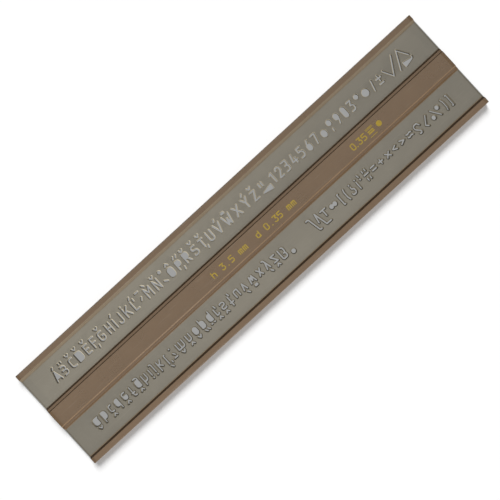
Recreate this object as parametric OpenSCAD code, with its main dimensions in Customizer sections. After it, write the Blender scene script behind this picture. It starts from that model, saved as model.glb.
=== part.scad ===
// Lettering stencil for a 0.35 mm technical pen: two slotted letter plates
// held between a printed centre bar and two raised edge rails. Capitals and
// figures read from above; the small letters are cut mirrored, so they read
// when the stencil is turned over about its long axis.
// X runs along the stencil, +Y points to the capitals' edge, Z is up.

/* [Body] */
// Length of the stencil
length = 160; // [160:1:180]
// Width over both edge rails
width = 35.3; // [35:0.1:40]
// Thickness over the bar and the rails
thickness = 2.6; // [2.4:0.1:3.2]
// Thickness of the letter plates
plate_t = 1.1; // [1:0.1:1.3]

/* [Centre bar] */
// Width of the raised middle strip of the bar
strip_w = 6.1; // [5:0.1:6.4]
// Width over the lower side ledges
ledge_w = 7.8; // [7.2:0.1:8.2]
// Width at the foot, where the letter plates begin
bar_w = 8.8; // [8.4:0.1:9.4]
// How far a ledge lies below the strip
ledge_drop = 0.25; // [0.1:0.05:0.4]

/* [Edge rails] */
// Width of a rail at its foot
rail_w = 2.65; // [2.4:0.05:3]
// Width of the flat shelf of a rail, level with the letter plate
rail_shelf = 0.25; // [0.1:0.05:0.35]
// Width of the sloping inner side of a rail, inside the shelf
rail_slope = 0.6; // [0.4:0.05:0.9]
// Bevel on the outer edges of a rail
rail_bevel = 0.2; // [0.1:0.05:0.3]

/* [Joints] */
// Thickness of the tongue along each side of a letter plate
tongue_t = 0.6; // [0.4:0.05:0.7]
// Depth of the grooves in the bar and the rails
groove_depth = 1; // [0.6:0.1:1.2]
// Room for cement at the bottom of a groove
cement_gap = 0.1; // [0.05:0.05:0.2]

/* [Lettering] */
// Width of the pen's line, which is the unit that the letters are drawn in
line_w = 0.35; // [0.33:0.01:0.36]
// Width of a slot, the line's width and a little room for the pen's tube
slot_w = 0.45; // [0.4:0.01:0.5]
// From the stencil's long axis to the foot line of either row
row_y = 7.75; // [7.5:0.05:8]

/* [Hidden] */

bar_colour = [0.47, 0.40, 0.33];
plate_colour = [0.53, 0.50, 0.45];

mid_z = thickness / 2;
plate_bottom = mid_z - plate_t / 2;
plate_top = mid_z + plate_t / 2;
plate_in = bar_w / 2;
plate_out = width / 2 - rail_w;
tongue_reach = groove_depth - cement_gap;
tongue_root = 0.4;
hairline = 0.01;
trim = 0.06;
arc_step = 22.5;
slot_end_sides = 8;
hole_sides = 16;
point_sides = 8;
cut_past = 1;

// The rows were laid out for a stencil of this length, in millimetres
// from its left end; a longer stencil gets equal margins.
row_length = 160;

// One pen stroke, a cut-out area or a round hole. Points are in line
// widths, from the character's left stroke and its foot line. A radius
// rounds every corner, or a list gives one radius a corner.
function stroke(points, r = 0) = ["stroke", points, r];
function area(points, r = 0) = ["area", points, r];
function hole(x, y, d) = ["hole", [x, y], d];
function box_area(w, y0, y1, r) = area([[0, y1], [w, y1], [w, y0], [0, y0]], r);

// Marks that sit above or below a character, by the place of their foot
function caron(x, y) = stroke([[x - 1.5, y + 1.9], [x, y], [x + 1.5, y + 1.9]]);
function hat(x, y) = stroke([[x - 1.5, y], [x, y + 1.9], [x + 1.5, y]]);
function acute(x, y) = stroke([[x - 0.7, y], [x + 0.7, y + 1.9]]);
function grave(x, y) = stroke([[x - 0.7, y + 1.9], [x + 0.7, y]]);
function comma(x, y) = stroke([[x, y], [x - 0.5, y - 2.2]]);
function bar(x0, x1, y) = stroke([[x0, y], [x1, y]]);
function post(x, y0, y1) = stroke([[x, y0], [x, y1]]);
function point_mark(x, y) = hole(x, y, 0.5);
function block(x, y) = area([[x - 1.1, y + 0.2], [x + 1.1, y + 0.2],
                             [x + 1.1, y + 1.4], [x - 1.1, y + 1.4]]);

// Heights of the letters and of the marks over them, in line widths
cap_h = 9;
small_h = 6;
tail = -2.4;
cap_mark = 10.8;
small_mark = 8.2;

// A capital that carries a mark is cut one line width lower
function lowered(marks) =
    [for (m = marks) [m[0], [for (p = m[1]) [p.x, p.y * (cap_h - 1) / cap_h]], m[2]]];

// Capitals. A closed counter is cut away whole, so that no island is left.
cap_a = [stroke([[0, 0], [2.7, cap_h], [5.4, 0]]),
         area([[2.7, cap_h], [0.72, 2.4], [4.68, 2.4]])];
cap_b = [stroke([[0, cap_h], [3.9, cap_h], [3.9, 4.7], [0, 4.7]], 1.9),
         stroke([[0, 4.7], [4.2, 4.7], [4.2, 0], [0, 0]], 2.1)];
cap_c = [stroke([[3.9, cap_h], [0, cap_h], [0, 0], [3.9, 0]], 2)];
cap_d = [box_area(5.2, 0, cap_h, [0, 2.2, 2.2, 0])];
cap_e = [stroke([[4, cap_h], [0, cap_h], [0, 0], [4, 0]]), bar(0, 3.3, 4.7)];
cap_f = [stroke([[4, cap_h], [0, cap_h], [0, 0]]), bar(0, 3.3, 4.7)];
cap_g = [stroke([[4.5, cap_h], [0, cap_h], [0, 0], [4.8, 0], [4.8, 4.4],
                 [2.8, 4.4]], [0, 2.1, 2.1, 2.1, 0, 0])];
cap_h_letter = [post(0, 0, cap_h), post(4, 0, cap_h), bar(0, 4, 4.8)];
cap_i = [post(0, 0, cap_h)];
cap_j = [stroke([[3.7, cap_h], [3.7, 0], [0, 0], [0, 1.7]], 1.6)];
cap_k = [post(0, 0, cap_h), stroke([[4.6, cap_h], [0, 3.4]]),
         stroke([[1.8, 5.6], [5, 0]])];
cap_l = [stroke([[0, cap_h], [0, 0], [3.6, 0]])];
cap_m = [stroke([[0, 0], [0, cap_h], [2.7, 4.2], [5.4, cap_h], [5.4, 0]])];
cap_n = [stroke([[0, 0], [0, cap_h], [4.4, 0], [4.4, cap_h]])];
cap_o = [box_area(4.7, 0, cap_h, 2.2)];
cap_p = [post(0, 0, cap_h), box_area(4.1, 3.9, cap_h, [0, 2, 2, 0])];
cap_r = [post(0, 0, cap_h), box_area(4.4, 3.9, cap_h, [0, 2, 2, 0]),
         stroke([[2.2, 3.9], [4.5, 0]])];
cap_s = [stroke([[4.2, cap_h], [0, cap_h], [0, 4.8], [4.5, 4.8], [4.5, 0],
                 [0, 0], [0, 1.1]], [0, 1.8, 1.8, 2.1, 2.1, 0.9, 0])];
cap_t = [bar(0, 4.6, cap_h), post(2.4, 0, cap_h)];
cap_u = [stroke([[0, cap_h], [0, 0], [4.5, 0], [4.5, cap_h]], 2.1)];
cap_v = [stroke([[0, cap_h], [3, 0], [6, cap_h]])];
cap_w = [stroke([[0, cap_h], [2, 0], [3.6, 5.6], [5.2, 0], [7.2, cap_h]]),
         area([[3.6, 5.6], [2.4, 1.5], [4.8, 1.5]])];
cap_x = [stroke([[0, 0], [5.4, cap_h]]), stroke([[0, cap_h], [5.4, 0]])];
cap_y = [stroke([[0, cap_h], [2.7, 4.4], [5.4, cap_h]]), post(2.7, 0, 4.4)];
cap_z = [stroke([[0, cap_h], [4.5, cap_h], [0, 0], [4.5, 0]])];

// Figures
fig_1 = [stroke([[0, 7.4], [1.8, cap_h], [1.8, 0]])];
fig_2 = [stroke([[0, 7], [0, cap_h], [3.9, cap_h], [3.9, 5.4], [0, 0], [3.9, 0]],
                [0, 1.7, 1.7, 1.2, 0, 0])];
fig_3_square = [stroke([[0, cap_h], [3.9, cap_h], [3.9, 4.8], [1.3, 4.8]],
                       [0, 0.6, 1.3, 0]),
                stroke([[1.3, 4.8], [3.9, 4.8], [3.9, 0], [0, 0]],
                       [0, 1.8, 2, 0])];
fig_3_slant = [stroke([[0, cap_h], [4.1, cap_h], [1.6, 5.2], [4.2, 5.2],
                       [4.2, 0], [0, 0]], [0, 0, 0, 2, 2, 0])];
fig_4 = [stroke([[1.9, cap_h], [0, 2.4], [4.7, 2.4]]), post(3.3, 0, 4.8)];
fig_5 = [stroke([[4, cap_h], [0.3, cap_h], [0.3, 5.4], [4.1, 5.4],
                 [4.1, 0], [0, 0]], [0, 0, 0, 2.2, 2.2, 0])];
fig_6 = [box_area(3.6, 0, 5.2, 1.8), stroke([[0.2, 3.8], [2.9, cap_h]])];
fig_7 = [stroke([[0, cap_h], [4, cap_h], [1.6, 0]])];
fig_8_foot = [box_area(4.2, 0, 5.5, 2.1)];
fig_8_head = [box_area(3.3, 4.8, cap_h, 1.6)];
fig_9 = [box_area(3.6, 4, cap_h, 1.8), stroke([[3.5, 5.4], [1.4, 0]])];
fig_0 = [box_area(3.4, 0, cap_h, 1.7)];

// Signs in the capitals' row
prime_pair = [post(0, 5.4, cap_h), post(2.7, 5.4, cap_h)];
taper_left = [area([[0, 0], [8.8, 1.9], [8.6, -2]])];
plus_minus = [post(2.6, 3.4, 9), bar(0, 5.2, 6.3), bar(0.2, 4.6, 1.1)];
tall_root = [stroke([[0, 8.4], [5.3, -1.4], [14.7, 13.6]])];
slant_angle = [stroke([[0, -2], [8.1, 13.6], [14, 3.9]]),
               area([[5.7, 1.4], [14.2, -0.4], [5.7, -2.3]]),
               stroke([[14.2, -0.4], [15, 1]])];

// The capitals' row, as [millimetres from the left end, strokes]
CAPITALS = [
    [8.1, concat(cap_a, [acute(3.4, cap_mark)])],
    [11.2, concat(lowered(cap_b), [post(1.3, cap_mark, 11.8), post(3.8, cap_mark, 11.8)])],
    [14.45, concat(lowered(cap_c), [caron(1.9, cap_mark)])],
    [17.2, concat(lowered(cap_d), [caron(2.4, cap_mark)])],
    [20.5, concat(lowered(cap_e), [caron(2, cap_mark)])],
    [23.35, concat(cap_f, [comma(3.9, -0.2)])],
    [26.15, concat(lowered(cap_g), [caron(2.4, cap_mark)])],
    [29.6, cap_h_letter],
    [32.5, concat(lowered(cap_i), [acute(0.8, cap_mark)])],
    [33.9, cap_j],
    [36.75, concat(cap_k, [point_mark(0, 11.2)])],
    [40, concat(cap_l, [acute(1.2, cap_mark), post(3.4, 7.4, 9.3)])],
    [42.75, [bar(0, 3.3, 11.3), stroke([[1, 3.1], [2.7, 5.6]])]],
    [45.4, concat(cap_m, [grave(1.9, cap_mark)])],
    [48.95, concat(cap_n, [caron(2, cap_mark)])],
    [52.05, [hole(1.5, 10.9, 2), stroke([[0, 2.3], [2.8, 0.4]])]],
    [54.65, concat(lowered(cap_o), [hat(2.4, cap_mark)])],
    [57.9, concat(lowered(cap_p), [acute(1.5, cap_mark), acute(4.4, cap_mark),
                                   comma(4.6, -0.3)])],
    [61, concat(cap_r, [caron(1.9, cap_mark)])],
    [64.25, concat(lowered(cap_s), [caron(2.3, cap_mark)])],
    [67.35, concat(lowered(cap_t), [caron(2.5, cap_mark), comma(4.8, -0.2)])],
    [70.6, cap_u],
    [73.7, concat(cap_v, [acute(3.7, cap_mark)])],
    [77.3, concat(cap_w, [block(3.6, cap_mark)])],
    [81.45, cap_x],
    [85.05, concat(cap_y, [acute(3.4, cap_mark)])],
    [88.6, concat(lowered(cap_z), [caron(2.1, cap_mark)])],
    [92.35, prime_pair],
    [92.1, taper_left],
    [96.6, fig_1],
    [98.95, fig_2],
    [101.7, fig_3_square],
    [104.75, fig_4],
    [107.75, fig_5],
    [110.9, fig_6],
    [113.65, fig_7],
    [116.7, fig_8_foot],
    [119.95, concat(fig_8_head, [stroke([[1.4, 0.7], [1.1, -1.2]])])],
    [122.8, fig_9],
    [125.65, fig_0],
    [128.35, fig_3_slant],
    [131.85, [hole(0, 7.5, 3.2)]],
    [134.85, [hole(0, 4.6, 5.8)]],
    [137.5, [stroke([[0, 0], [2.5, cap_h]])]],
    [139.8, plus_minus],
    [142.85, tall_root],
    [147.3, slant_angle],
];

// Small letters
small_a = [box_area(4, 0, small_h, [1.8, 0.4, 0, 1.8]), stroke([[4, 0.6], [5, 0]])];
small_b = [post(0, 0, cap_h), box_area(3.8, 0, small_h, [0, 1.8, 1.8, 0])];
small_c = [stroke([[2.9, small_h], [0, small_h], [0, 0], [2.9, 0]], 1.5)];
small_d = [post(3.4, 0, cap_h), box_area(3.4, 0, small_h, [1.7, 0, 0, 1.7])];
small_e = [box_area(3.7, 3.2, small_h, [1.7, 1.7, 0, 0]),
           stroke([[0, 3.2], [0, 0], [3.5, 0]], 1.4)];
small_f = [stroke([[3.2, cap_h], [0.9, cap_h], [0.9, 0]], 1.3), bar(0, 2.9, small_h)];
small_g = [box_area(3.7, 0, small_h, [1.7, 0, 0, 1.7]),
           stroke([[3.7, small_h], [3.7, tail], [0.4, tail]], 1.3)];
small_h_letter = [post(0, 0, cap_h),
                  stroke([[0, small_h], [3.7, small_h], [3.7, 0]], 1.7)];
small_i = [post(0, 0, small_h), point_mark(0, 8.4)];
small_j = [stroke([[1.7, small_h], [1.7, tail], [0, tail]], 1.2),
           point_mark(1.7, 8.4)];
small_k = [post(0, 0, cap_h), stroke([[3.7, small_h], [0, 2.4]]),
           stroke([[1.4, 3.7], [4, 0]])];
small_l = [stroke([[0, cap_h], [0, 0], [1.1, 0]], 0.8)];
small_m = [post(3.3, 0, small_h),
           stroke([[0, 0], [0, small_h], [6.7, small_h], [6.7, 0]], [0, 0, 1.6, 0])];
small_n = [stroke([[0, 0], [0, small_h], [3.4, small_h], [3.4, 0]], [0, 0, 1.6, 0])];
small_o = [box_area(3.7, 0, small_h, 1.8)];
small_p = [post(0, tail, small_h), box_area(3.5, 0, small_h, [0, 1.7, 1.7, 0])];
small_q = [post(3.3, tail, small_h), box_area(3.3, 0, small_h, [1.6, 0, 0, 1.6])];
small_r = [stroke([[0, 0], [0, small_h], [2.6, small_h], [2.6, 4.9]], [0, 0, 0.9, 0])];
small_s = [stroke([[3.9, 5.3], [3.9, small_h], [0, small_h], [0, 3.1], [3.9, 3.1],
                   [3.9, 0], [0, 0], [0, 0.7]],
                  [0, 0.6, 1.4, 1.4, 1.5, 1.5, 0.6, 0])];
small_t = [post(1.3, 0, cap_h), bar(0, 3.4, small_h)];
small_u = [stroke([[0, small_h], [0, 0], [4, 0], [4, small_h]], [0, 1.6, 0, 0])];
small_v = [stroke([[0, small_h], [1.8, 0], [3.6, small_h]])];
small_w = [stroke([[0, small_h], [1.4, 0], [2.65, 4.2], [3.9, 0], [5.3, small_h]]),
           area([[2.65, 4.2], [1.8, 1.3], [3.5, 1.3]])];
small_x = [stroke([[0, 0], [3.7, small_h]]), stroke([[0, small_h], [3.7, 0]])];
small_y = [stroke([[0, small_h], [1.9, 0.3]]),
           stroke([[3.6, small_h], [1.3, tail], [0, tail]], 0.8)];
small_z = [stroke([[0, small_h], [4, small_h], [0, 0], [4, 0]])];
sharp_s = [stroke([[0, 0], [0, cap_h], [4.8, cap_h], [4.8, 5], [3.1, 5]],
                  [0, 1, 1.6, 1.2, 0]),
           stroke([[3.1, 5], [5, 5], [5, 0], [3.4, 0]], 1.5)];

// Signs in the small letters' row
long_s = [stroke([[7, 11.5], [5.1, 11.5], [2.6, -1.8], [0, -1.8]], 1.2)];
root_sign = [stroke([[0, 6.4], [1.6, -1.8], [4.6, 11.5], [9.6, 11.5]])];
square_to = [bar(0, 5.8, 0.3), post(2.9, 0.3, 6.2)];
endless = [hole(0, 3.4, 2.9), hole(3.7, 3.4, 2.9)];
bracket_open = [stroke([[1, 9.7], [0, 9.7], [0, -0.8], [1, -0.8]])];
bracket_close = [stroke([[-1, 9.7], [0, 9.7], [0, -0.8], [-1, -0.8]])];
round_open = [stroke([[0.8, 9.7], [0, 7.2], [0, 1.7], [0.8, -0.8]], 3)];
round_close = [stroke([[-0.8, 9.7], [0, 7.2], [0, 1.7], [-0.8, -0.8]], 3)];
question = [stroke([[0, 7.5], [0, cap_h], [3.9, cap_h], [3.9, 5.2], [2, 4], [2, 2.2]],
                   [0, 1.3, 1.8, 1, 0.6, 0]),
            point_mark(2, 0.1)];
exclamation = [post(0, 2.4, cap_h), point_mark(0, 0)];
semicolon = [point_mark(0, 2.9), comma(0.1, 0.4)];
quotes_and_dash = [bar(0, 4.9, 3), post(0.9, 6.4, 8.5), post(3.8, 6.4, 8.5),
                   post(0.8, -1.7, 0.3), post(3.7, -1.7, 0.3)];
equals = [bar(0.4, 4.7, 4.7), bar(0.4, 4.7, 1.7)];
plus = [bar(0.2, 4.5, 3.3), post(2.35, 1.2, 5.4)];
times = [stroke([[0, 1.3], [4.3, 5.5]]), stroke([[0, 5.5], [4.3, 1.3]])];
less = [stroke([[3.8, 4.9], [0, 3.1], [3.8, 1.3]])];
more = [stroke([[0, 5], [4.1, 3.1], [0, 1.2]])];
wave = [[0, 4.4], [1.4, 5], [3.9, 4.2], [5.4, 4.8]];
nearly_equals = [stroke(wave, 0.8), stroke([for (p = wave) p - [0, 3]], 0.8)];
and_sign = [stroke([[1.2, 8.3], [1.2, cap_h], [3.4, cap_h], [3.4, 7], [0, 3.6],
                    [0, 0], [4.2, 0], [5.4, 2.6]],
                   [0, 0.6, 1, 0.8, 1.4, 1.8, 1, 0])];
hooked_stroke = [stroke([[2, 8.8], [0, 6.8], [4.9, 0]])];
percent = [hole(0, 6.5, 2.8), stroke([[1.1, 0], [7, 8.9]]), hole(7.6, 1.8, 2.8)];

// The small letters' row, as [millimetres from the left end, strokes]
SMALL_LETTERS = [
    [7.65, concat(small_a, [hat(2.2, small_mark)])],
    [10.8, small_b],
    [13.8, concat(small_c, [caron(1.4, small_mark)])],
    [16.2, small_d],
    [19.2, concat(small_e, [caron(1.8, small_mark)])],
    [22.05, small_f],
    [24.65, concat(small_g, [caron(1.7, small_mark)])],
    [27.35, small_h_letter],
    [30.25, small_i],
    [31.25, small_j],
    [33.45, small_k],
    [36.45, concat(small_l, [acute(0.9, 10.8), post(3.2, 8.1, 9.6)])],
    [38.8, [bar(0, 3.1, 8.3), stroke([[1, 4.1], [2.3, 6.1]]),
            point_mark(0.8, -0.9)]],
    [41.35, concat(small_m, [hat(2.6, small_mark)])],
    [45.3, concat(small_n, [caron(1.6, small_mark)])],
    [48.15, concat(small_o, [hat(1.9, small_mark)])],
    [51.05, concat(small_p, [acute(1.2, small_mark), acute(3.8, small_mark)])],
    [54, concat(small_q, [bar(-0.4, 0.6, 8.3), bar(2.7, 3.7, 8.3)])],
    [56.9, concat(small_r, [caron(1.4, small_mark), comma(2.5, 0)])],
    [59.35, concat(small_s, [caron(1.9, small_mark)])],
    [62.2, concat(small_t, [comma(3.1, -0.2)])],
    [64.9, small_u],
    [67.85, concat(small_v, [acute(2.6, small_mark)])],
    [70.85, concat(small_w, [block(2.7, small_mark)])],
    [74.35, small_x],
    [77.3, concat(small_y, [acute(2.7, small_mark)])],
    [80.2, concat(small_z, [caron(2, small_mark)])],
    [83.05, sharp_s],
    [86.85, [hole(0, 9.3, 2.8)]],
    [95.35, long_s],
    [98.2, root_sign],
    [100.4, square_to],
    [104.25, endless],
    [107.65, bracket_open],
    [109.8, round_open],
    [111.55, question],
    [114.55, exclamation],
    [116.05, semicolon],
    [117.65, quotes_and_dash],
    [120.45, equals],
    [123.45, plus],
    [126.55, times],
    [129.35, less],
    [132.4, more],
    [135.2, nearly_equals],
    [138.4, and_sign],
    [141.65, hooked_stroke],
    [144.95, percent],
    [150.05, round_close],
    [152.05, bracket_close],
];

// The arc that rounds the corner b between a and c, as a list of points
function unit(v) = v / norm(v);
function corner(a, b, c, r) =
    r <= 0 ? [b] :
    let (u = unit(a - b),
         v = unit(c - b),
         half = acos(u * v) / 2,
         centre = b + unit(u + v) * r / sin(half),
         from = b + u * r / tan(half) - centre,
         turn = cross(u, v) > 0 ? half * 2 - 180 : 180 - half * 2,
         start = atan2(from.y, from.x),
         steps = ceil(abs(turn) / arc_step))
    [for (i = [0:steps]) centre + r * [cos(start + turn * i / steps),
                                       sin(start + turn * i / steps)]];

function radius_at(r, i) = is_list(r) ? r[i] : r;

// A path with its inner corners rounded, and a closed outline with all of them
function rounded_path(p, r) =
    let (last = len(p) - 1)
    [for (i = [0:last])
        for (q = i == 0 || i == last
                 ? [p[i]] : corner(p[i - 1], p[i], p[i + 1], radius_at(r, i)))
            q];
function rounded_outline(p, r) =
    let (n = len(p))
    [for (i = [0:n - 1])
        for (q = corner(p[(i + n - 1) % n], p[i], p[(i + 1) % n], radius_at(r, i)))
            q];

// Neighbours that fall together, where two arcs meet, count once
function distinct(p) =
    [for (i = [0:len(p) - 1]) if (i == 0 || norm(p[i] - p[i - 1]) > hairline) p[i]];

// The way out of a path at one of its points, mitred between its two sides
function left_of(v) = [-v.y, v.x];
function way_out(p, i) =
    let (before = left_of(unit(p[max(i, 1)] - p[max(i, 1) - 1])),
         next = min(i, len(p) - 2),
         after = left_of(unit(p[next + 1] - p[next])))
    (before + after) / (1 + before * after);

// A path as a hairline, one thin ribbon
module hairline_path(p) {
    last = len(p) - 1;
    polygon(concat([for (i = [0:last]) p[i] + way_out(p, i) * hairline / 2],
                   [for (i = [last:-1:0]) p[i] - way_out(p, i) * hairline / 2]));
}

module pen_mark(mark) {
    if (mark[0] == "stroke")
        hairline_path(distinct(rounded_path(mark[1], mark[2])) * line_w);
    if (mark[0] == "area")
        polygon(rounded_outline(mark[1], mark[2]) * line_w);
    if (mark[0] == "hole")
        translate(mark[1] * line_w)
            circle(d = mark[2] * line_w, $fn = mark[2] < 1 ? point_sides : hole_sides);
}

// A row of slots: the pen's paths, widened to the slot on every side. They
// are widened a little too far, and then drawn in and let out again, which
// takes away edges too short to cut.
module row_slots(row) {
    offset(delta = trim)
        offset(delta = -2 * trim)
            offset(r = slot_w / 2 + trim, $fn = slot_end_sides)
                for (character = row)
                    translate([character[0] - row_length / 2, row_y])
                        for (mark = character[1])
                            pen_mark(mark);
}

// A bar of constant section, its outline given in Y and Z
module along_stencil(outline) {
    translate([-length / 2, 0, 0])
        rotate([90, 0, 90])
            linear_extrude(length)
                polygon(outline);
}

module box_between(y0, y1, z0, z1, reach = length) {
    translate([-reach / 2, y0, z0])
        cube([reach, y1 - y0, z1 - z0]);
}

// The groove that a plate's tongue is cemented into, open towards y = face
module groove(face, side) {
    low = mid_z - tongue_t / 2;
    high = mid_z + tongue_t / 2;
    bottom = face - side * groove_depth;
    mouth = face + side * cut_past;
    box_between(min(bottom, mouth), max(bottom, mouth), low, high,
                length + 2 * cut_past);
}

module centre_bar() {
    strip = strip_w / 2;
    ledge = ledge_w / 2;
    foot = bar_w / 2;
    ledge_z = thickness - ledge_drop;
    half = [[strip, 0], [strip, ledge_drop], [ledge, ledge_drop],
            [foot, plate_bottom], [foot, plate_top], [ledge, ledge_z],
            [strip, ledge_z], [strip, thickness]];
    other_half = [for (i = [len(half) - 1:-1:0]) [-half[i].x, half[i].y]];
    color(bar_colour)
        difference() {
            along_stencil(concat(half, other_half));
            groove(foot, 1);
            groove(-foot, -1);
        }
}

// The rail along the capitals' edge; the other rail is its mirror image
module edge_rail() {
    inner = plate_out;
    shelf = inner + rail_shelf;
    outer = width / 2;
    top = shelf + rail_slope;
    color(bar_colour)
        difference() {
            along_stencil([[top, 0], [outer - rail_bevel, 0], [outer, rail_bevel],
                           [outer, thickness - rail_bevel],
                           [outer - rail_bevel, thickness], [top, thickness],
                           [shelf, plate_top], [inner, plate_top],
                           [inner, plate_bottom], [shelf, plate_bottom]]);
            groove(inner, -1);
        }
}

module capital_edge_rail() {
    edge_rail();
}

module lowercase_edge_rail() {
    mirror([0, 1, 0])
        edge_rail();
}

// A letter plate on the +Y side, with a tongue along each long side
module letter_plate(row) {
    color(plate_colour) {
        difference() {
            box_between(plate_in, plate_out, plate_bottom, plate_top);
            translate([0, 0, plate_bottom - cut_past])
                linear_extrude(plate_t + 2 * cut_past)
                    row_slots(row);
        }
        for (side = [[plate_in - tongue_reach, plate_in + tongue_root],
                     [plate_out - tongue_root, plate_out + tongue_reach]])
            box_between(side[0], side[1], mid_z - tongue_t / 2, mid_z + tongue_t / 2);
    }
}

module capital_plate() {
    letter_plate(CAPITALS);
}

// The mirrored plate makes the small letters read from the back
module lowercase_plate() {
    mirror([0, 1, 0])
        letter_plate(SMALL_LETTERS);
}

centre_bar();
capital_plate();
lowercase_plate();
capital_edge_rail();
lowercase_edge_rail();
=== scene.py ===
# %% [markdown]
# # A see-through lettering stencil
# A lettering stencil is a flat strip of smoky plastic with letters cut through it, for drawing
# them with a technical pen. This lesson dresses a imported CAD model of one: the CAD says where
# every piece is, and here each piece gets its soft edges, its cut lips, its print and its
# plastic. Everything is in metres and in the CAD's own frame: X along the stencil, +Y towards
# the capitals' edge, Z up. First the frame is loaded.

# %% Load the CAD frame
import math

import bmesh
import bpy
import numpy as np
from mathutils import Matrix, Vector
from mathutils.geometry import delaunay_2d_cdt


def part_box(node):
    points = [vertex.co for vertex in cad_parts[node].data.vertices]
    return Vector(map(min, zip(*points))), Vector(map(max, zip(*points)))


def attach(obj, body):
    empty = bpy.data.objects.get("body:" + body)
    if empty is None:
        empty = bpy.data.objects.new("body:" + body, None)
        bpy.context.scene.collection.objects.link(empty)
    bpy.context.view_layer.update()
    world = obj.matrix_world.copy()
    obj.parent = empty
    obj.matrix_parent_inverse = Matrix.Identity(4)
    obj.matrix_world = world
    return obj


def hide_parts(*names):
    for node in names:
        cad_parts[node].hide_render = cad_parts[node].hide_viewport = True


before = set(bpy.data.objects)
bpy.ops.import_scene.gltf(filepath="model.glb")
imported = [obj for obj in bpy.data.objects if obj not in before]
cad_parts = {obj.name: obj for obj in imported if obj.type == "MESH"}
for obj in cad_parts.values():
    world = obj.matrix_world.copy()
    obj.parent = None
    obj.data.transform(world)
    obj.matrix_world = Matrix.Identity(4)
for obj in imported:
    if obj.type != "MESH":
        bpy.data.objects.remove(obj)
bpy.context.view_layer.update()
print("CAD nodes:", sorted(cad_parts))

# %% [markdown]
# ## Sizes from the frame
# The five CAD nodes are the centre bar, two letter plates and two edge rails. Their boxes give
# most sizes. The few that a box can't show, such as the width of a ledge, are named here with
# their real values. Two points closer together than SAME are one point.

# %% Sizes
MM = 0.001
SAME = 1e-7
HALF_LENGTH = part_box("centre_bar")[1].x
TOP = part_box("centre_bar")[1].z
HALF_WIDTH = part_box("capital_edge_rail")[1].y
PLATE_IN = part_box("centre_bar")[1].y
PLATE_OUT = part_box("capital_edge_rail")[0].y
PLATE_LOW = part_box("capital_plate")[0].z
PLATE_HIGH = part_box("capital_plate")[1].z

STRIP_HALF = 3.05 * MM
STRIP_STEP = 0.22 * MM
LEDGE_HALF = 3.75 * MM
LEDGE_DROP = 0.25 * MM
BAR_SHELF = 0.15 * MM
RAIL_SHELF = 0.25 * MM
RAIL_SLOPE = 0.6 * MM
RAIL_BEVEL = 0.2 * MM
PRINT_THICKNESS = 0.01 * MM
print("plates lie from", PLATE_LOW / MM, "to", round(PLATE_HIGH / MM, 3), "mm")

# %% [markdown]
# ## The camera first
# The stencil was photographed from straight above its middle, turned so that its long side
# climbs to the right. A camera that looks down needs no tilt, only a roll about Z. The distance
# sets how much of the slots' inner walls shows towards the ends, and the focal length then
# follows from how many millimetres the frame takes in at the height of the letter plates. The
# stencil's middle lies at STENCIL_AT in the picture, in pixels right and down from its top left
# corner, so the camera stands that much off the middle.

# %% Camera
CAMERA_HEIGHT = 220 * MM
FRAME_SPAN = 150 * MM
LONG_AXIS_CLIMBS = math.radians(42.57)
FRAME_PIXELS = 500
STENCIL_AT = (252.1, 239.2)

camera = bpy.data.objects.new("camera", bpy.data.cameras.new("camera"))
bpy.context.scene.collection.objects.link(camera)
bpy.context.scene.camera = camera
camera.data.lens = camera.data.sensor_width * CAMERA_HEIGHT / FRAME_SPAN
camera.data.clip_start = 1 * MM
pixel = FRAME_SPAN / FRAME_PIXELS
right = Vector((math.cos(LONG_AXIS_CLIMBS), -math.sin(LONG_AXIS_CLIMBS), 0))
up = Vector((math.sin(LONG_AXIS_CLIMBS), math.cos(LONG_AXIS_CLIMBS), 0))
from_centre = Vector(STENCIL_AT) - Vector((FRAME_PIXELS / 2, FRAME_PIXELS / 2))
camera.location = right * (-from_centre.x * pixel) + up * (from_centre.y * pixel)
camera.location.z = PLATE_HIGH + CAMERA_HEIGHT
camera.rotation_euler = (0, 0, -LONG_AXIS_CLIMBS)
print("camera at", [round(v / MM, 1) for v in camera.location], "mm, lens", round(camera.data.lens, 1))


# %% [markdown]
# ## A mesh from arrays
# Every new piece below is worked out with numpy as whole arrays: points, faces and, where a
# piece has several finishes, a number for each face. One helper turns the arrays into an object.
# Small faces belong to rounded edges and are shaded smooth, so that they shine as one curve. Wide
# faces are flats and stay flat: smooth shading would carry the edge's tilt far across them.

# %% Mesh helper
SHARP_ANGLE = math.radians(38)


def piece_from(name, points, faces, finish=None, smooth=None):
    """Makes an object at the origin from an (n, 3) array of points in metres and a list of
    faces. finish gives each face the number of its material, and smooth says which are part of
    a curve."""
    mesh = bpy.data.meshes.new(name)
    mesh.from_pydata(points.tolist(), [], faces)
    mesh.update()
    if finish is not None:
        mesh.polygons.foreach_set("material_index", np.asarray(finish, np.int32))
    mesh.set_sharp_from_angle(angle=SHARP_ANGLE)
    smooth = np.zeros(len(mesh.polygons), bool) if smooth is None else np.asarray(smooth)
    mesh.polygons.foreach_set("use_smooth", smooth)
    made = bpy.data.objects.new(name, mesh)
    bpy.context.scene.collection.objects.link(made)
    print(f"{name}: {len(mesh.vertices)} points, {len(mesh.polygons)} faces")
    return made


# %% [markdown]
# ## Bars of one section
# The centre bar and the two rails have the same section all the way along, as if they came out
# of one long mould. The section is a closed outline in Y and Z. Real mould edges are never
# knife sharp, and an edge without a radius catches no light, so each corner is swapped for a
# short curve. At the ends the whole section is drawn in along a quarter circle, which rounds
# the end edges in the same way.

# %% Section helpers
CORNER_STEPS = 4
END_ROUND = 0.05 * MM


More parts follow.
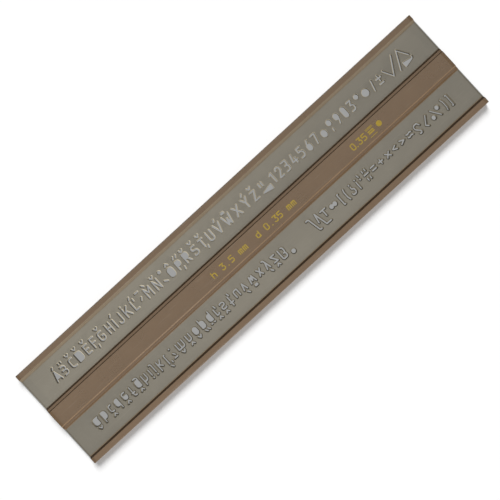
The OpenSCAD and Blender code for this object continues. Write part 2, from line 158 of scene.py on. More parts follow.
def rounded_section(corners, reach, steps=CORNER_STEPS):
    """A closed outline with soft corners. Each corner becomes the curve
    (1-s)^2 * before + 2s(1-s) * corner + s^2 * after, where before and after lie the distance
    reach away from it on its two sides."""
    corners = np.array(corners, float)
    reach = np.broadcast_to(reach, len(corners))[:, None]
    back = np.roll(corners, 1, 0) - corners
    ahead = np.roll(corners, -1, 0) - corners
    before = corners + back / np.linalg.norm(back, axis=1)[:, None] * reach
    after = corners + ahead / np.linalg.norm(ahead, axis=1)[:, None] * reach
    s = np.linspace(0, 1, steps + 1)[None, :, None]
    curve = ((1 - s) ** 2 * before[:, None] + 2 * s * (1 - s) * corners[:, None]
             + s ** 2 * after[:, None])
    return curve.reshape(-1, 2)


def way_out(outline):
    """For each point of a closed outline that runs anticlockwise, the mitred way outwards: the
    sum of its two sides' unit normals divided by one plus their dot product."""
    side = np.roll(outline, -1, 0) - outline
    side /= np.linalg.norm(side, axis=1)[:, None]
    after = np.stack([side[:, 1], -side[:, 0]], 1)
    before = np.roll(after, 1, 0)
    return (before + after) / (1 + (before * after).sum(1))[:, None]


def quarter_round(steps):
    """How far in and how far down a quarter-round edge runs, in units of its radius, from the
    flat above it to the wall below: 1 - sin a and 1 - cos a for a from 0 to 90 degrees."""
    angle = np.linspace(0, np.pi / 2, steps + 1)
    return 1 - np.sin(angle), 1 - np.cos(angle)


def bar_of(outline):
    """A section carried along X from end to end. It is a grid of rings times outline points.
    The rings at either end are drawn in by the quarter round, and caps close the ends."""
    drawn_in, set_back = quarter_round(CORNER_STEPS)
    x = np.concatenate([-HALF_LENGTH + set_back * END_ROUND,
                        (HALF_LENGTH - set_back * END_ROUND)[::-1]])
    shrink = np.concatenate([drawn_in, drawn_in[::-1]]) * END_ROUND
    rings = outline[None] - way_out(outline)[None] * shrink[:, None, None]
    n = len(outline)
    points = np.concatenate([np.broadcast_to(x[:, None, None], (len(x), n, 1)), rings], 2)
    ring, j = np.meshgrid(np.arange(len(x) - 1), np.arange(n), indexing="ij")
    here = ring * n + j
    beside = ring * n + (j + 1) % n
    walls = np.stack([here, beside, beside + n, here + n], -1).reshape(-1, 4)
    caps = [list(range(n - 1, -1, -1)), list(range((len(x) - 1) * n, len(x) * n))]
    return points.reshape(-1, 3), walls, caps


print("a rounded corner has", CORNER_STEPS + 1, "points")

# %% [markdown]
# ### Finishes on a bar
# Looking straight down on a clear plastic step, the flat parts let the paper show through, but
# the sloping flanks send the line of sight sideways inside the plastic, where it meets no paper
# and only more plastic. The flanks look darker and fuller for it, and that shade is painted into
# their finish. The thin feet beside the letter plates look paler, because there is less brown to
# look through. Each is a finish of its own, and a face takes the finish of the strip of width that
# its middle lies in. Two slopes alike can still look different: of the print strip's low steps and
# of the rails' slopes, the one that faces the window is dark, and the one that faces away glows.
# This is painted too: the dark ones take the flanks' painted shade, the print strip's far step
# takes a lighter finish as painted glow, and the capitals' rail's slope takes the feet's pale
# finish, which there is painted glow. The ledges beside the strip and the small letters' rail,
# which lies furthest from the window, are painted a little deeper in colour as shade.

# %% Centre bar and rails
FACE, FLANK, FOOT, LEDGE, STEP, END = range(6)
SOFT = 0.06 * MM


def dressed_bar(name, section, reach, finishes):
    """A bar from its section. finishes lists (finish, from, to): the faces whose middle lies
    between those two places across the stencil get that finish. The rounded ends get the dark
    finish of a sawn end, which is painted shade along the end edges."""
    outline = rounded_section(section, reach)
    points, walls, caps = bar_of(outline)
    across = points[walls][..., 1].mean(1)
    finish = np.full(len(walls), FACE)
    for number, low, high in finishes:
        finish[(across > low) & (across < high)] = number
    along_x = np.ptp(points[walls][..., 0], 1) > END_ROUND
    finish[~along_x] = END
    side = np.linalg.norm((points[walls[:, 0]] - points[walls[:, 1]])[:, 1:], axis=1)
    curved = ~(along_x & (side > reach))
    return piece_from(name, points, walls.tolist() + caps, list(finish) + [END, END],
                      list(curved) + [False, False])


bar_top = TOP - PRINT_THICKNESS
foot_half = PLATE_IN - BAR_SHELF
strip_top_half = STRIP_HALF - STRIP_STEP
bar_quarter = [(STRIP_HALF, LEDGE_DROP), (LEDGE_HALF, LEDGE_DROP), (foot_half, PLATE_LOW),
               (PLATE_IN, PLATE_LOW), (PLATE_IN, PLATE_HIGH), (foot_half, PLATE_HIGH),
               (LEDGE_HALF, TOP - LEDGE_DROP), (STRIP_HALF, TOP - LEDGE_DROP)]
bar_section = ([(strip_top_half, 0)] + bar_quarter
               + [(strip_top_half, bar_top), (-strip_top_half, bar_top)]
               + [(-y, z) for y, z in bar_quarter[::-1]] + [(-strip_top_half, 0)])
centre_bar = dressed_bar("centre_bar_moulding", bar_section, SOFT,
                         [(FLANK, strip_top_half, STRIP_HALF), (LEDGE, STRIP_HALF, LEDGE_HALF),
                          (FLANK, LEDGE_HALF, foot_half), (FOOT, foot_half, PLATE_IN),
                          (STEP, -STRIP_HALF, -strip_top_half),
                          (LEDGE, -LEDGE_HALF, -STRIP_HALF),
                          (FLANK, -foot_half, -LEDGE_HALF), (FOOT, -PLATE_IN, -foot_half)])

shelf_out = PLATE_OUT + RAIL_SHELF
slope_out = shelf_out + RAIL_SLOPE
rail_section = [(slope_out, 0), (HALF_WIDTH - RAIL_BEVEL, 0), (HALF_WIDTH, RAIL_BEVEL),
                (HALF_WIDTH, TOP - RAIL_BEVEL), (HALF_WIDTH - RAIL_BEVEL, TOP),
                (slope_out, TOP), (shelf_out, PLATE_HIGH), (PLATE_OUT, PLATE_HIGH),
                (PLATE_OUT, PLATE_LOW), (shelf_out, PLATE_LOW)]
capital_rail = dressed_bar("capital_edge_rail_moulding", rail_section, SOFT,
                           [(FOOT, PLATE_OUT, slope_out)])
lowercase_rail = dressed_bar("lowercase_edge_rail_moulding",
                             [(-y, z) for y, z in rail_section[::-1]], SOFT,
                             [(FOOT, -shelf_out, -PLATE_OUT), (FLANK, -slope_out, -shelf_out),
                              (LEDGE, -HALF_WIDTH, -slope_out)])

# %% [markdown]
# ## Letter plates with cut lips
# The letters are slots milled through a thin plate, and the cutter leaves a small flare at each
# lip, so that the pen's tube finds its way in. The CAD cuts the slots with straight walls. To
# flare them, their outlines are read off a merged copy of the CAD plate: an edge of the upper
# face that only one triangle uses is an edge of a slot or of the plate. The triangles say which
# way round each edge runs, so every outline point knows the point that follows it.

# %% Read the outlines
POINT_SPACING = 0.18 * MM


def merged_triangles(node):
    """Points and triangles of a CAD node, with its doubled points merged."""
    merged = bmesh.new()
    merged.from_mesh(node.data)
    bmesh.ops.remove_doubles(merged, verts=merged.verts, dist=SAME)
    mesh = bpy.data.meshes.new("merged")
    merged.to_mesh(mesh)
    merged.free()
    points = np.empty(len(mesh.vertices) * 3)
    mesh.vertices.foreach_get("co", points)
    corners = np.empty(len(mesh.loops), np.int64)
    mesh.loops.foreach_get("vertex_index", corners)
    bpy.data.meshes.remove(mesh)
    return points.reshape(-1, 3), corners.reshape(-1, 3)


def outlines_of(node):
    """The outlines of a plate's upper face as points in X and Y, the number of each point's
    follower, and whether it lies on the plate's own outer edge. Long slot edges are divided
    evenly, so that no two points are further apart than the spacing."""
    points, triangles = merged_triangles(node)
    upper = triangles[(np.abs(points[triangles][..., 2] - PLATE_HIGH) < SAME).all(1)]
    edges = np.concatenate([upper[:, [0, 1]], upper[:, [1, 2]], upper[:, [2, 0]]])
    key = edges[:, 0] * len(points) + edges[:, 1]
    mirrored = edges[:, 1] * len(points) + edges[:, 0]
    edges = edges[~np.isin(key, mirrored)]
    start, end = points[edges[:, 0], :2], points[edges[:, 1], :2]
    on_rim = ((np.abs(np.abs(points[:, 0]) - HALF_LENGTH) < SAME)
              | (np.abs(np.abs(points[:, 1]) - PLATE_IN) < SAME)
              | (np.abs(np.abs(points[:, 1]) - PLATE_OUT) < SAME))
    rim = on_rim[edges].all(1)
    length = np.linalg.norm(end - start, axis=1)
    count = np.where(rim, 1, np.ceil(length / POINT_SPACING)).astype(int)
    first = np.cumsum(count) - count
    edge = np.repeat(np.arange(len(edges)), count)
    step = np.arange(count.sum()) - first[edge]
    place = start[edge] + (end - start)[edge] * (step / count[edge])[:, None]
    edge_from = np.empty(len(points), int)
    edge_from[edges[:, 0]] = np.arange(len(edges))
    follower = np.where(step + 1 < count[edge], np.arange(len(edge)) + 1,
                        first[edge_from[edges[edge, 1]]])
    return place, follower, rim[edge]


capital_outlines = outlines_of(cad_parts["capital_plate"])
lowercase_outlines = outlines_of(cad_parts["lowercase_plate"])
print("outline points:", len(capital_outlines[0]), "and", len(lowercase_outlines[0]))

# %% [markdown]
# ### How far a lip can flare
# Two slots can be only 0.2 mm apart, and an inner corner leaves no room at all. The room at a
# point is the radius of the largest circle that touches the outline there, from the plastic's
# side, and holds no other outline point. For another point q that lies d away from p, with n
# the way into the plastic, that circle's radius is d^2 / (2 d.n), so the room is the smallest
# of these. A lip that takes less than the room never crosses another one. A point that lies
# almost straight beside p, less than LEAST_AHEAD of its distance ahead, bounds nothing. The way
# into the plastic is a mitre, and at a very sharp turn a mitre runs far out, so its divisor is
# kept over SHARPEST_TURN and its length under LONGEST_MITRE.

# %% Room for the lips
ROWS_AT_ONCE = 400
ROOM_SHARE = 0.72
LONGEST_MITRE = 1.5
SHARPEST_TURN = 0.2
LEAST_AHEAD = 0.02


def into_plastic(place, follower):
    """The mitred way from a slot into the plastic at each outline point, and its unit vector.
    The plastic lies to the left of an edge, as the triangles run anticlockwise."""
    side = place[follower] - place
    side /= np.linalg.norm(side, axis=1)[:, None]
    after = np.stack([-side[:, 1], side[:, 0]], 1)
    before = np.empty_like(after)
    before[follower] = after
    mitre = (before + after) / np.maximum(1 + (before * after).sum(1), SHARPEST_TURN)[:, None]
    size = np.linalg.norm(mitre, axis=1)[:, None]
    return mitre * np.minimum(1, LONGEST_MITRE / size), mitre / size


def room_at(place, unit):
    """The radius of the largest empty circle that touches the outline at each point."""
    room = np.empty(len(place))
    for row in range(0, len(place), ROWS_AT_ONCE):
        part = slice(row, row + ROWS_AT_ONCE)
        to = place[None] - place[part, None]
        ahead = (to * unit[part, None]).sum(2)
        square = (to ** 2).sum(2)
        faces_it = ahead > LEAST_AHEAD * np.sqrt(square)
        radius = np.where(faces_it, square / np.where(faces_it, 2 * ahead, 1), np.inf)
        room[part] = radius.min(1)
    return room


for title, outlines in (("capitals", capital_outlines), ("small letters", lowercase_outlines)):
    free = room_at(outlines[0], into_plastic(outlines[0], outlines[1])[1])[~outlines[2]]
    print(title, "have", round(np.median(free) / MM, 2), "mm of room at the middle point")


# %% [markdown]
# ### Building a plate
# The plate is made of rings that follow the outlines down through it: the upper lip's bevel with
# its edges a little rounded, the straight wall and the lower lip. The two flat faces between the
# outlines are filled by a constrained Delaunay triangulation, which takes any outline with holes
# in it. The lips have one finish, the walls of the slots another and the plate's ends a third.

# %% Plate builder
LIP_IN = np.array([1.0, 0.88, 0.08, 0.0])
LIP_DOWN = np.array([0.0, 0.05, 0.92, 1.0])
SHEET, LIP, WALL, SAWN = range(4)
TO_FILL = 1 / MM
FILL_INSIDE = 1
FILL_EPSILON = 1e-6
TRIANGLES_AT_ONCE = 1000


def in_plastic(middle, place, follower):
    """Whether each point lies in the plastic: a line from it to the right crosses the outlines
    an odd number of times."""
    (x0, y0), (x1, y1) = place.T, place[follower].T
    inside = np.empty(len(middle), bool)
    for row in range(0, len(middle), TRIANGLES_AT_ONCE):
        x, y = middle[row:row + TRIANGLES_AT_ONCE].T[..., None]
        spans = (y0 > y) != (y1 > y)
        at = x0 + (y - y0) * (x1 - x0) / np.where(y1 == y0, 1, y1 - y0)
        inside[row:row + TRIANGLES_AT_ONCE] = (spans & (at > x)).sum(1) % 2 == 1
    return inside


def filled(place, follower):
    """Triangles that fill the plane between the outlines, anticlockwise from above. The filler
    works in millimetres, and it fills the slots too, so those triangles are left out."""
    edges = np.stack([np.arange(len(place)), follower], 1)
    made = delaunay_2d_cdt([Vector(p) for p in (place * TO_FILL).tolist()], edges.tolist(), [],
                           FILL_INSIDE, FILL_EPSILON, True)
    source = np.array([ids[0] if ids else -1 for ids in made[3]])
    triangles = source[np.array(made[2])]
    triangles = triangles[(triangles >= 0).all(1)]
    a, b, c = (place[triangles[:, k]] for k in range(3))
    turned = np.cross(b - a, c - a) < 0
    triangles[turned] = triangles[turned][:, ::-1]
    kept = in_plastic((a + b + c) / 3, place, follower)
    print("the filler made", len(triangles), "triangles and moved",
          len(made[0]) - len(place), "points;", int(kept.sum()), "lie in the plastic")
    return triangles[kept]


def dressed_plate(name, outlines, upper_lip, lower_lip):
    """A letter plate with a flared lip around every slot, on both sides. A lip is (width,
    depth) in metres. Ring k of a lip lies LIP_IN[k] of its width into the plastic and
    LIP_DOWN[k] of its depth below the face."""
    place, follower, rim = outlines
    mitre, unit = into_plastic(place, follower)
    room = room_at(place, unit) * ROOM_SHARE
    ends = np.zeros_like(place)
    at_end = np.abs(np.abs(place[:, 0]) - HALF_LENGTH) < SAME
    ends[:, 0] = np.where(at_end, -np.sign(place[:, 0]) * END_ROUND, 0)
    rings = []
    for (width, depth), face, way in ((upper_lip, PLATE_HIGH, -1), (lower_lip, PLATE_LOW, 1)):
        flare = mitre * np.minimum(width, room)[:, None]
        shift = np.where(rim[:, None], ends, flare)
        drop = np.where(rim, END_ROUND, depth)
        lip = [np.column_stack([place + shift * a, face + way * drop * d])
               for a, d in zip(LIP_IN, LIP_DOWN)]
        rings += lip if way < 0 else lip[::-1]
    n = len(place)
    points = np.concatenate(rings)
    ring = np.arange(len(rings) - 1)[:, None] * n
    here, ahead = ring + np.arange(n)[None], ring + follower[None]
    walls = np.stack([ahead, here, here + n, ahead + n], -1).reshape(-1, 4)
    row_finish = np.full(len(rings) - 1, LIP)
    row_finish[len(LIP_IN) - 1] = WALL
    sawn = at_end & at_end[follower]
    wall_finish = np.where(rim[None], WALL, row_finish[:, None])
    wall_finish = np.where(sawn[None], SAWN, wall_finish).reshape(-1)
    last = (len(rings) - 1) * n
    upper = filled(points[:n, :2], follower)
    lower = filled(points[last:, :2], follower)[:, ::-1] + last
    faces = upper.tolist() + lower.tolist() + walls.tolist()
    flats = np.full(len(upper) + len(lower), SHEET)
    finish = np.concatenate([flats, wall_finish])
    smooth = np.concatenate([flats != SHEET, np.ones(len(walls), bool)])
    return piece_from(name, points, faces, finish, smooth)


CAPITAL_LIPS = (0.2 * MM, 0.22 * MM), (0.12 * MM, 0.25 * MM)
LOWERCASE_LIPS = (0.28 * MM, 0.32 * MM), (0.14 * MM, 0.16 * MM)
capital_plate = dressed_plate("capital_plate_sheet", capital_outlines, *CAPITAL_LIPS)
lowercase_plate = dressed_plate("lowercase_plate_sheet", lowercase_outlines, *LOWERCASE_LIPS)

# %% [markdown]
# ## Yellow print
# The pen's size is printed on the bar in yellow ink, with a sign for a thin line and a dot in
# the same ink. Further left the bar carries the letters' height and the line's width in plain
# figures. Ink is only a hundredth of a millimetre thick, but it has a body: each mark is the union
# of round-ended strokes, filled flat, with a low wall around it. Places along the bar are given
# in millimetres from its left end.

# %% Stroke figures
FIGURE_WIDTH = 1.14 * MM
FIGURE_HEIGHT = 1.85 * MM
FIGURE_PITCH = 1.78 * MM
STROKE = 0.35 * MM
GRID = np.array([4, 7])
ROUND_SIDES = 5

# Each sign is a list of pen paths on a grid 4 wide and 7 high.
SIGNS = {
    "0": [[(1, 0), (3, 0), (4, 1), (4, 6), (3, 7), (1, 7), (0, 6), (0, 1), (1, 0)]],
    "3": [[(0, 7), (4, 7), (2, 4.2), (3, 4.2), (4, 3.2), (4, 1), (3, 0), (1, 0), (0, 1)]],
    "5": [[(4, 7), (0, 7), (0, 4), (3, 4), (4, 3), (4, 1), (3, 0), (0, 0)]],
    ".": [[(1.8, 0), (2.2, 0)]],
    "h": [[(0, 0), (0, 7)], [(0, 3.8), (1, 4.8), (3, 4.8), (4, 3.8), (4, 0)]],
    "d": [[(4, 0), (4, 7)], [(4, 1), (3, 0), (1, 0), (0, 1), (0, 3.8), (1, 4.8), (3, 4.8),
                             (4, 3.8)]],
    "m": [[(0, 0), (0, 4.8), (1.5, 4.8), (2, 4.3), (2, 0)],
          [(2, 4.3), (2.5, 4.8), (3.5, 4.8), (4, 4.3), (4, 0)]],
}


def stroke_outlines(path, width):
    """One closed outline for each leg of a pen path: a straight run with a half circle of the
    stroke's width at either end."""
    path = np.array(path, float)
    start, end = path[:-1], path[1:]
    turn = np.arctan2((end - start)[:, 1], (end - start)[:, 0])
    half = np.linspace(-np.pi / 2, np.pi / 2, ROUND_SIDES)
    front = turn[:, None] + half[None]
    ring = np.stack([np.cos(front), np.sin(front)], 2) * width / 2
    return np.concatenate([end[:, None] + ring, start[:, None] - ring], 1)


def written(words, left, foot):
    """The strokes of a line of figures whose first sign starts at left and stands on foot."""
    unit = np.array([FIGURE_WIDTH, FIGURE_HEIGHT]) / GRID
    legs = []
    for place, sign in enumerate(words):
        for path in SIGNS.get(sign, []):
            corner = np.array([left + place * FIGURE_PITCH, foot])
            legs.append(stroke_outlines(np.array(path) * unit + corner, STROKE))
    return legs


print("a stroke's outline has", ROUND_SIDES * 2, "points")

# %% Printed marks
PRINT_FOOT = -1.06 * MM
PRINT_EPSILON = 1e-5
PEN_SIZE_SIGNS = (("0", 120.3), (".", 121.5), ("35", 122.9))
HEIGHT_WORDS = "h 3.5 mm  d 0.35 mm"
HEIGHT_AT = 63.8
# Each line of the line sign: from, to, height above the bar's middle, and width, in millimetres.
SIGN_LINES = ((126.8, 129.3, 1.1, 0.22), (126.8, 129.3, 0.72, 0.2), (127.1, 129.0, 0.0, 0.42),
              (127.1, 129.0, -0.6, 0.42), (126.8, 129.3, -1.7, 0.18))
DOT_AT = (131.35, -0.1)
DOT_RADIUS = 0.9 * MM
DOT_SIDES = 24


def on_bar(x, y=0.0):
    """A place on the bar, x millimetres from its left end and y above its middle, in metres."""
    return np.array([x * MM - HALF_LENGTH, y * MM])


def inked(name, outlines):
    """A thin flat skin over the union of closed outlines: the filled plane at the bar's top,
    its copy on the bar, and a wall along every edge that only one triangle uses."""
    corners = [o for group in outlines for o in group]
    start = np.cumsum([0] + [len(c) for c in corners])
    place = np.concatenate(corners)
    faces = [list(range(start[i], start[i + 1])) for i in range(len(corners))]
    edges = [(f[k], f[(k + 1) % len(f)]) for f in faces for k in range(len(f))]
    made = delaunay_2d_cdt([Vector(p) for p in (place * TO_FILL).tolist()], edges, faces,
                           FILL_INSIDE, PRINT_EPSILON, True)
    flat = np.array([tuple(p) for p in made[0]]) / TO_FILL
    triangles = np.array([f for f, source in zip(made[2], made[5]) if source])
    a, b, c = (flat[triangles[:, k]] for k in range(3))
    turned = np.cross(b - a, c - a) < 0
    triangles[turned] = triangles[turned][:, ::-1]
    used, triangles = np.unique(triangles, return_inverse=True)
    flat, triangles = flat[used], triangles.reshape(-1, 3)
    n = len(flat)
    edges = np.concatenate([triangles[:, [0, 1]], triangles[:, [1, 2]], triangles[:, [2, 0]]])
    rim = edges[~np.isin(edges[:, 0] * n + edges[:, 1], edges[:, 1] * n + edges[:, 0])]
    points = np.concatenate([np.column_stack([flat, np.full(n, TOP)]),
                             np.column_stack([flat, np.full(n, bar_top)])])
    walls = np.stack([rim[:, 1], rim[:, 0], rim[:, 0] + n, rim[:, 1] + n], 1)
    return piece_from(name, points,
                      triangles.tolist() + (triangles[:, ::-1] + n).tolist() + walls.tolist())


pen_size = [leg for signs, x in PEN_SIZE_SIGNS for leg in written(signs, on_bar(x)[0], PRINT_FOOT)]
line_sign = [stroke_outlines([on_bar(start, y), on_bar(end, y)], width * MM)
             for start, end, y, width in SIGN_LINES]
turn = np.linspace(0, 2 * np.pi, DOT_SIDES, endpoint=False)
dot = [(on_bar(*DOT_AT) + DOT_RADIUS * np.stack([np.cos(turn), np.sin(turn)], 1))[None]]
pen_print = inked("pen_size_print", pen_size + line_sign + dot)
height_print = inked("letter_height_print",
                     written(HEIGHT_WORDS, on_bar(HEIGHT_AT)[0], PRINT_FOOT))

# %% [markdown]
# ## Plastic
# The body is smoky acrylic, PMMA, moulded and then left in drawers and slid over paper for
# years. Three things make it read as plastic and not as paint. It is see-through: each skin
# lets some of what lies beneath show, which a plain Alpha number does and an export keeps. It
# has a broad soft gloss, because fine scratches have dulled it. And its tint is a little uneven,
# because the plastic flowed as it cooled. One function adds a node with its settings and links.

# %% Material helpers


def linear(code):
    """An sRGB hex colour as linear red, green, blue and an alpha of 1."""
    value = np.array([int(code[i:i + 2], 16) for i in (1, 3, 5)]) / 255
    low = value / 12.92
    high = ((value + 0.055) / 1.055) ** 2.4
    return (*np.where(value <= 0.04045, low, high).tolist(), 1.0)


def add(tree, kind, links=None, **settings):
    """Adds a node to a tree. settings are its properties or, by their names with spaces as
    underscores, its inputs; links gives inputs as {input: output socket}."""
    node = tree.nodes.new(kind)
    for name, value in settings.items():
        socket = node.inputs.get(name.replace("_", " "))
        if socket is not None and not hasattr(node, name):
            socket.default_value = value
        else:
            setattr(node, name, value)
    for name, source in (links or {}).items():
        tree.links.new(source, node.inputs[name])
    return node


PER_METRE = 1 / MM
ACRYLIC_IOR = 1.49
CLOUD_MM = 6.0
MOST_CLOUD = 0.35
SCRATCH_MM = 0.35
ALONG_SCRATCH = 0.05
MOST_SCRATCH = 0.05
SCRATCH_TINT = "#d8d2c4"
DULLED_BY = 0.15
WAVINESS = 0.05 * MM


def plastic(name, tint, deep, alpha, roughness, gloss=0.3):
    """Smoky acrylic. Cloudy noise a few millimetres wide moves the tint towards the deeper one.
    Noise drawn out along X gives fine scratches, which lighten the tint a little and dull the
    gloss."""
    material = bpy.data.materials.new(name)
    material.use_nodes = True
    tree = material.node_tree
    tree.nodes.clear()
    place = add(tree, "ShaderNodeTexCoord").outputs["Object"]
    clouds = add(tree, "ShaderNodeTexNoise", {"Vector": place},
                 Scale=PER_METRE / CLOUD_MM, Detail=3.0, Roughness=0.55)
    amount = add(tree, "ShaderNodeMapRange", {"Value": clouds.outputs["Fac"]},
                 From_Min=0.35, From_Max=0.65, To_Min=0.0, To_Max=MOST_CLOUD)
    tinted = add(tree, "ShaderNodeMix", {"Factor": amount.outputs["Result"]}, data_type="RGBA")
    tinted.inputs["A"].default_value = linear(tint)
    tinted.inputs["B"].default_value = linear(deep)
    stretched = add(tree, "ShaderNodeMapping", {"Vector": place})
    stretched.inputs["Scale"].default_value = (ALONG_SCRATCH, 1.0, 1.0)
    fine = add(tree, "ShaderNodeTexNoise", {"Vector": stretched.outputs["Vector"]},
               Scale=PER_METRE / SCRATCH_MM, Detail=2.0)
    scratched = add(tree, "ShaderNodeMapRange", {"Value": fine.outputs["Fac"]},
                    From_Min=0.6, From_Max=0.75, To_Min=0.0, To_Max=MOST_SCRATCH)
    worn = add(tree, "ShaderNodeMix", {"Factor": scratched.outputs["Result"]}, data_type="RGBA")
    tree.links.new(tinted.outputs["Result"], worn.inputs["A"])
    worn.inputs["B"].default_value = linear(SCRATCH_TINT)
    dulled = add(tree, "ShaderNodeMapRange", {"Value": fine.outputs["Fac"]},
                 From_Min=0.4, From_Max=0.8, To_Min=roughness, To_Max=roughness + DULLED_BY)
    bump = add(tree, "ShaderNodeBump", {"Height": clouds.outputs["Fac"]},
               Strength=0.08, Distance=WAVINESS)
    shader = add(tree, "ShaderNodeBsdfPrincipled",
                 {"Base Color": worn.outputs["Result"], "Roughness": dulled.outputs["Result"],
                  "Normal": bump.outputs["Normal"]},
                 IOR=ACRYLIC_IOR, Specular_IOR_Level=gloss, Alpha=alpha)
    add(tree, "ShaderNodeOutputMaterial", {"Surface": shader.outputs["BSDF"]})
    return material


def put(piece, *materials):
    """Gives a piece its materials, in the order of its faces' numbers."""
    for material in materials:
        piece.data.materials.append(material)


# %% The plastics
# The letter plates are sheet acrylic, tinted grey. Alpha, then roughness, follow the two tints.
plate_face = plastic("smoky_acrylic_sheet", "#8b8474", "#7f7868", 0.62, 0.32)
# The cutter's flare at a lip is finely scored. Its tint is painted light: paler as glow on one
# plate, and darker as shade on the other.
fine_lip_painted_glow = plastic("fine_acrylic_lip_painted_glow", "#a59b85", "#998f7a", 0.9, 0.35, gloss=0.15)
wide_lip_painted_shade = plastic("wide_acrylic_lip_painted_shade", "#6c6453", "#635b4b", 0.9, 0.35, gloss=0.15)
# A milled acrylic wall is rough; its dark tint is painted shade, on the slots' walls and the sawn
# ends. The small letters' slots have a smooth one, painted paler as glow.
milled_wall_painted_shade = plastic("milled_acrylic_wall_painted_shade", "#4a4336", "#3f392d", 0.95, 0.5, gloss=0.1)
pale_wall_painted_glow = plastic("polished_acrylic_wall_painted_glow", "#a39a86", "#938a77", 0.8, 0.35, gloss=0.15)
# The bar and the rails are moulded acrylic, brown because they are thicker: the flat strip, its
# flanks and ledges, painted darker as shade, the thin feet, paler for their thinness and painted
# glow on the capitals' rail's slope, and the step, painted lighter as glow.
bar_face = plastic("brown_acrylic_moulding", "#7b6349", "#715a41", 0.7, 0.3)
bar_flank_painted_shade = plastic("brown_acrylic_flank_painted_shade", "#634e38", "#56422e", 0.94, 0.35, gloss=0.15)
bar_foot_and_painted_glow = plastic("thin_acrylic_foot_and_painted_glow", "#80715c", "#756751", 0.8, 0.35, gloss=0.2)
bar_ledge_painted_shade = plastic("brown_acrylic_ledge_painted_shade", "#735c44", "#69533c", 0.75, 0.3)
bar_step_painted_glow = plastic("brown_acrylic_step_painted_glow", "#866d52", "#7a634a", 0.88, 0.35, gloss=0.15)
bar_finishes = (bar_face, bar_flank_painted_shade, bar_foot_and_painted_glow, bar_ledge_painted_shade, bar_step_painted_glow, milled_wall_painted_shade)
put(capital_plate, plate_face, fine_lip_painted_glow, milled_wall_painted_shade, milled_wall_painted_shade)
put(lowercase_plate, plate_face, wide_lip_painted_shade, pale_wall_painted_glow, milled_wall_painted_shade)
for piece in (centre_bar, capital_rail, lowercase_rail):
    put(piece, *bar_finishes)
print("plastics:", [m.name for m in (plate_face, fine_lip_painted_glow, wide_lip_painted_shade, pale_wall_painted_glow) + bar_finishes])

# %% [markdown]
# ### Ink
# Screen-printing ink is matt and covers well, but it is thin at the edges of a stroke and rubbed
# where fingers and sleeves pass. Noise about as wide as a stroke lets some of the bar's brown
# come through.

# %% The ink
PATCH_MM = 0.9
INK_IOR = 1.5


def screen_ink(name, full, rubbed):
    """Matt yellow ink, rubbed in patches about as wide as a stroke."""
    material = bpy.data.materials.new(name)
    material.use_nodes = True
    tree = material.node_tree
    tree.nodes.clear()
    place = add(tree, "ShaderNodeTexCoord").outputs["Object"]
    patches = add(tree, "ShaderNodeTexNoise", {"Vector": place},
                  Scale=PER_METRE / PATCH_MM, Detail=4.0, Roughness=0.65)
    wear = add(tree, "ShaderNodeMapRange", {"Value": patches.outputs["Fac"]},
               From_Min=0.4, From_Max=0.7, To_Min=0.0, To_Max=1.0)
    colour = add(tree, "ShaderNodeMix", {"Factor": wear.outputs["Result"]}, data_type="RGBA")
    colour.inputs["A"].default_value = linear(full)
    colour.inputs["B"].default_value = linear(rubbed)
    shader = add(tree, "ShaderNodeBsdfPrincipled", {"Base Color": colour.outputs["Result"]},
                 Roughness=0.6, IOR=INK_IOR)
    add(tree, "ShaderNodeOutputMaterial", {"Surface": shader.outputs["BSDF"]})
    return material


# Screen-printing ink in the yellow that stands for a 0.35 mm pen.
yellow = screen_ink("yellow_screen_ink", "#a48b24", "#8a7432")
put(pen_print, yellow)
put(height_print, yellow)

# %% [markdown]
# ## Every piece rides and stands for a node
# The stencil has no moving parts, so all its pieces ride on the one body. Each piece hides the CAD
# node that it stands for, if it has one.

# %% Ride and replace
RAIL_SLOT, PLATE_SLOT, INK_SLOT = "rail_plastic", "plate_plastic", "print_ink"
for piece, slot, node in ((centre_bar, RAIL_SLOT, "centre_bar"),
                          (capital_rail, RAIL_SLOT, "capital_edge_rail"),
                          (lowercase_rail, RAIL_SLOT, "lowercase_edge_rail"),
                          (capital_plate, PLATE_SLOT, "capital_plate"),
                          (lowercase_plate, PLATE_SLOT, "lowercase_plate"),
                          (pen_print, INK_SLOT, None), (height_print, INK_SLOT, None)):
    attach(piece, "root")
    if node:
        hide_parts(node)
    print(piece.name, "stands for", node or "the print")

# %% [markdown]
# ## White paper
# The stencil lies on white paper that fills the frame. The paper must stay white without more
# light on the plastic, so it has a share of its own brightness that only the camera, a
# reflection or a see-through surface can see; the rest is a plain diffuse sheet that takes the
# shadow. It lies a hair below the stencil, so that the two surfaces never fall together. The part
# of it under the stencil is a sheet of its own, so that a lamp can leave it out: in the photograph
# the paper behind the letters lies in an even shade. That sheet scatters little light and has a
# fixed brightness of its own, which paint that even shade. It reaches just past the stencil's
# ends, where the paper is still in the shade of the plates, and there too the shade is painted.

# %% Paper
PAPER_HALF = 0.6
PAPER_GAP = 0.03 * MM
SHADE_BEYOND_ENDS = 0.88 * MM
# Each sheet's own brightness in red, green and blue, and the share of light that it scatters.
PAPER_GLOW, PAPER_ALBEDO = (0.18, 0.18, 0.18), 0.8
# The shaded sheet's low share and fixed brightness are painted shade.
SHADE_GLOW, SHADE_ALBEDO = (0.33, 0.331, 0.326), 0.15


def seen_directly(tree):
    """1 for rays from the camera and for reflected or transmitted ones, and 0 for light."""
    path = add(tree, "ShaderNodeLightPath")
    either = add(tree, "ShaderNodeMath", {0: path.outputs["Is Camera Ray"],
                                          1: path.outputs["Is Glossy Ray"]}, operation="MAXIMUM")
    return add(tree, "ShaderNodeMath", {0: either.outputs[0],
                                        1: path.outputs["Is Transmission Ray"]},
               operation="MAXIMUM").outputs[0]


